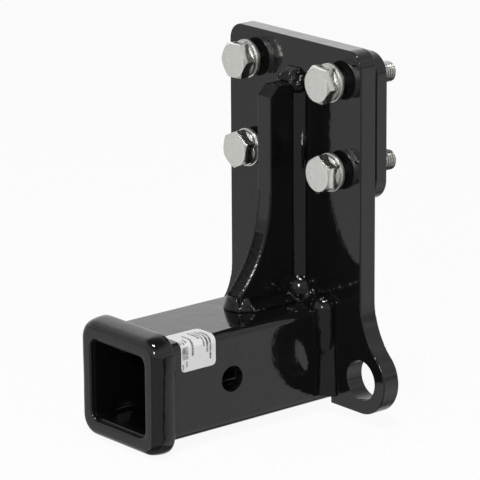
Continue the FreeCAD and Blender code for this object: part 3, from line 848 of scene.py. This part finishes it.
def flat_washer_mesh():
    """Whole ring with softened edges."""
    section = washer_section(FLAT_WASHER_RADIUS, FLAT_WASHER_HEIGHT)
    rings = []
    for i in range(FLAT_WASHER_STEPS):
        angle = 2 * math.pi * i / FLAT_WASHER_STEPS
        rings.append([Vector((r * math.cos(angle), y, r * math.sin(angle))) for r, y in section])
    rings.append(rings[0])
    return ring_surface("flat", rings, capped=False)


def lock_washer_mesh(turn):
    """Split ring whose ends part at a slanting cut."""
    section = washer_section(LOCK_WASHER_RADIUS, LOCK_WASHER_HEIGHT)
    gap = LOCK_WASHER_GAP / LOCK_WASHER_RADIUS
    rings = []
    for i in range(LOCK_WASHER_STEPS + 1):
        angle = gap / 2 + (2 * math.pi - gap) * i / LOCK_WASHER_STEPS
        ring = []
        for r, y in section:
            lean = (y - LOCK_WASHER_HEIGHT / 2) * LOCK_WASHER_LEAN / LOCK_WASHER_RADIUS
            turned = angle + lean + math.radians(90.0 - turn)
            ring.append(Vector((r * math.cos(turned), y, r * math.sin(turned))))
        rings.append(ring)
    return ring_surface("split", rings)


def washer_pieces():
    """A lock washer and a flat washer under each bolt's head."""
    rows = zip(PLACES, loose_parts("lock_washers"), loose_parts("flat_washers"), BOLT_SHIFTS,
               LOCK_WASHER_TURNS)
    for place, lock_box, flat_box, (shift_x, shift_z), turn in rows:
        centre = (flat_box[0] + flat_box[1]) / 2
        for kind, mesh, low in (
            ("lock_washer", lock_washer_mesh(turn), lock_box[0]),
            ("flat_washer", flat_washer_mesh(), flat_box[0]),
        ):
            piece = joined(f"{kind}_{place}", [mesh])
            piece.location = (centre.x + shift_x * MM, low.y, centre.z + shift_z * MM)
            piece.data.materials.append(MATERIALS["dull_zinc"])
            smooth(piece, sharp_over=40)
            finish_piece(piece, [kind + "s"])


# Paint line over the joint between the plates, dull so that it also reads as painted shade in the
# groove: half its width, how proud it stands, how far its middle lies behind the joint as a share
# of the half width, the spacer's corner radius, and the line's cross-section as (share of the half
# width, share of the height)
JOINT_HALF = 0.75 * MM
JOINT_PROUD = 0.12 * MM
JOINT_SET_BACK = 0.6
JOINT_CORNER = 14.0 * MM
JOINT_STEPS = 12
JOINT_SECTION = ((-1.0, -0.3), (-0.7, 0.7), (0.0, 1.0), (0.7, 0.7), (1.0, -0.3))


def joint_line_and_shade():
    """Dull paint drawn into the joint between the two plates, down each side and over the corners, as
    painted shade in the groove.
    """
    low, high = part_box("spacer_plate")
    joint_y = low.y + JOINT_HALF * JOINT_SET_BACK
    corner = Vector((high.x - JOINT_CORNER, joint_y, high.z - JOINT_CORNER))
    path = [(Vector((high.x, joint_y, low.z + JOINT_CORNER)), Vector((1.0, 0.0, 0.0)))]
    for step in range(JOINT_STEPS + 1):
        turn = math.radians(90.0 * step / JOINT_STEPS)
        out = Vector((math.cos(turn), 0.0, math.sin(turn)))
        path.append((corner + out * JOINT_CORNER, out))
    for side, name in ((1, "joint_line_and_shade_right"), (-1, "joint_line_and_shade_left")):
        rings = []
        for spot, out in path:
            ring = []
            for along, proud in JOINT_SECTION:
                point = spot + out * JOINT_PROUD * proud + Vector((0.0, JOINT_HALF * along, 0.0))
                point.x *= side
                ring.append(point)
            rings.append(ring)
        piece = joined(name, [ring_surface(name, rings)])
        # Paint in the joint, whose dullness is a painted shade for the groove between the plates
        piece.data.materials.append(MATERIALS["joint_paint_and_shade"])
        smooth(piece, sharp_over=60)
        finish_piece(piece)


FLOOR_HALF = 30.0
FLOOR_CORNERS = ((-1, -1), (1, -1), (1, 1), (-1, 1))
FLOOR_GREY = 0.80
FLOOR_GLOW_SHARE = 0.93


def studio_floor():
    """Pale floor that stays white and keeps a soft shadow."""
    s = material_tree("studio_floor")
    paper = s.node("BsdfDiffuse", {"Color": grey(FLOOR_GREY)}).outputs[0]
    glow = s.node("Emission", {"Color": grey(1.0), "Strength": 1.0}).outputs[0]
    share = s.math("MULTIPLY", s.seen_directly(), FLOOR_GLOW_SHARE)
    s.output(s.mix_shaders(share, paper, glow))
    corners = [(x * FLOOR_HALF, y * FLOOR_HALF, CAD_LOW[2]) for x, y in FLOOR_CORNERS]
    mesh = bpy.data.meshes.new("floor")
    mesh.from_pydata(corners, [], [(0, 1, 2, 3)])
    mesh.materials.append(s.owner)
    floor = new_object("floor", mesh)
    floor.visible_glossy = False


# Brightness of the room as gloss surfaces mirror it. "Facing" is how far a level direction
# points to the darker side of the room: 1 towards it, -1 towards the bright wall. "Height" is the
# Z of a direction.
DARK_SIDE = (0.767, -0.641, 0.0)
FLOOR_BY_FACING = (
    (-1.0, 0.66), (-0.15, 0.66), (0.0, 0.95), (0.10, 0.95), (0.20, 0.83), (0.42, 0.62),
    (0.50, 0.52), (0.52, 0.06), (0.575, 0.06), (0.60, 0.46), (1.0, 0.46),
)
FLOOR_BY_HEIGHT = ((-1.0, 0.40), (-0.78, 0.25), (-0.72, 1.0), (0.0, 1.0))
WALLS_BY_FACING = (
    (-1.0, 1.15), (-0.83, 1.05), (-0.5, 0.80), (-0.27, 0.60), (-0.10, 0.68), (1.0, 0.60),
)
WALLS_BY_HEIGHT = (
    (-0.05, 1.0), (0.0, 0.55), (0.06, 0.62), (0.14, 0.95), (0.20, 1.35), (0.25, 1.10), (0.33, 1.0),
    (0.60, 1.15), (0.74, 0.85), (0.86, 0.22), (1.0, 0.08),
)

# Height below and above the horizon over which the floor fades into the walls, and the plain
# level that lights the object
HAZE_BY_FACING = ((-1.0, 0.02), (-0.30, 0.02), (0.0, 0.14), (1.0, 0.14))
FILL_BY_HEIGHT = ((0.0, 1.25), (0.35, 0.42), (1.0, 0.06))


def studio_world():
    """White for the camera, the room's walls and floor for reflections, and a plain fill level."""
    world = bpy.data.worlds.new("studio")
    bpy.context.scene.world = world
    s = ShaderTree(world)
    direction = s.node("TexCoord").outputs["Generated"]
    height = s.node("SeparateXYZ", {0: direction}).outputs["Z"]
    level = s.vector("NORMALIZE", s.vector("MULTIPLY", direction, (1.0, 1.0, 0.0)))
    facing = s.node("VectorMath", {0: level, 1: DARK_SIDE}, operation="DOT_PRODUCT").outputs["Value"]
    floor = s.vector("MULTIPLY", s.ramp(facing, FLOOR_BY_FACING), s.ramp(height, FLOOR_BY_HEIGHT))
    walls = s.vector("MULTIPLY", s.ramp(facing, WALLS_BY_FACING), s.ramp(height, WALLS_BY_HEIGHT))
    rise = s.math("DIVIDE", height, s.ramp(facing, HAZE_BY_FACING))
    above = s.remap(rise, -1.0, 1.0, 0.0, 1.0, "SMOOTHSTEP")
    mirrored = s.node("Background", {"Color": s.mix(above, floor, walls)}).outputs[0]
    fill = s.node("Background", {"Color": s.ramp(height, FILL_BY_HEIGHT)}).outputs[0]
    white = s.node("Background", {"Color": grey(1.0)}).outputs[0]
    in_gloss = s.node("LightPath").outputs["Is Glossy Ray"]
    lit = s.mix_shaders(in_gloss, fill, mirrored)
    s.output(s.mix_shaders(s.seen_directly(), lit, white), "OutputWorld")


# Soft lamps as (name, azimuth, elevation, width, height, watts), in degrees and metres. Their
# azimuths turn from +Y towards +X.
LAMPS = (
    ("key_overhead", 132.0, 72.0, 0.38, 0.22, 14.5),
    ("low_front", 146.0, 27.0, 0.22, 0.22, 6.5),
)
LAMP_DISTANCE = 1.6
LAMP_AIM = Vector((0.0, 0.05, 0.08))


def softbox(name, azimuth, elevation, width, height, power):
    """Area lamp that looks at the object."""
    turn, rise = math.radians(azimuth), math.radians(elevation)
    level = math.cos(rise)
    towards = Vector((math.sin(turn) * level, math.cos(turn) * level, math.sin(rise)))
    lamp = bpy.data.lights.new(name, "AREA")
    lamp.shape = "RECTANGLE"
    lamp.size = width
    lamp.size_y = height
    lamp.energy = power
    holder = new_object(name, lamp)
    holder.location = LAMP_AIM + towards * LAMP_DISTANCE
    holder.rotation_euler = towards.to_track_quat("Z", "Y").to_euler()
    holder.visible_camera = False


def camera():
    """Long lens that looks at the aim point, rolled about its own axis."""
    azimuth, elevation, roll = map(math.radians, (CAMERA_AZIMUTH, CAMERA_ELEVATION, CAMERA_ROLL))
    level = math.cos(elevation)
    ahead = Vector((-math.sin(azimuth) * level, math.cos(azimuth) * level, -math.sin(elevation)))
    across = Vector((math.cos(azimuth), math.sin(azimuth), 0.0))
    upright = across.cross(ahead)
    right = math.cos(roll) * across + math.sin(roll) * upright
    up = -math.sin(roll) * across + math.cos(roll) * upright
    data = bpy.data.cameras.new("camera")
    data.sensor_fit = "HORIZONTAL"
    data.sensor_width = SENSOR_WIDTH
    data.lens = CAMERA_LENS
    data.clip_end = FAR_CLIP
    holder = new_object("camera", data)
    place = Matrix((right, up, -ahead)).transposed().to_4x4()
    place.translation = CAMERA_AIM - ahead * CAMERA_DISTANCE
    holder.matrix_world = place
    bpy.context.scene.camera = holder


camera()
studio_world()
studio_floor()
for lamp_row in LAMPS:
    softbox(*lamp_row)
dress_nodes()
for weld_seed, weld_row in enumerate(WELDS, 1):
    weld_piece(*weld_row, weld_seed)
collar_piece()
gusset_piece()
bolt_pieces()
washer_pieces()
joint_line_and_shade()

bpy.context.scene.view_settings.view_transform = "Standard"
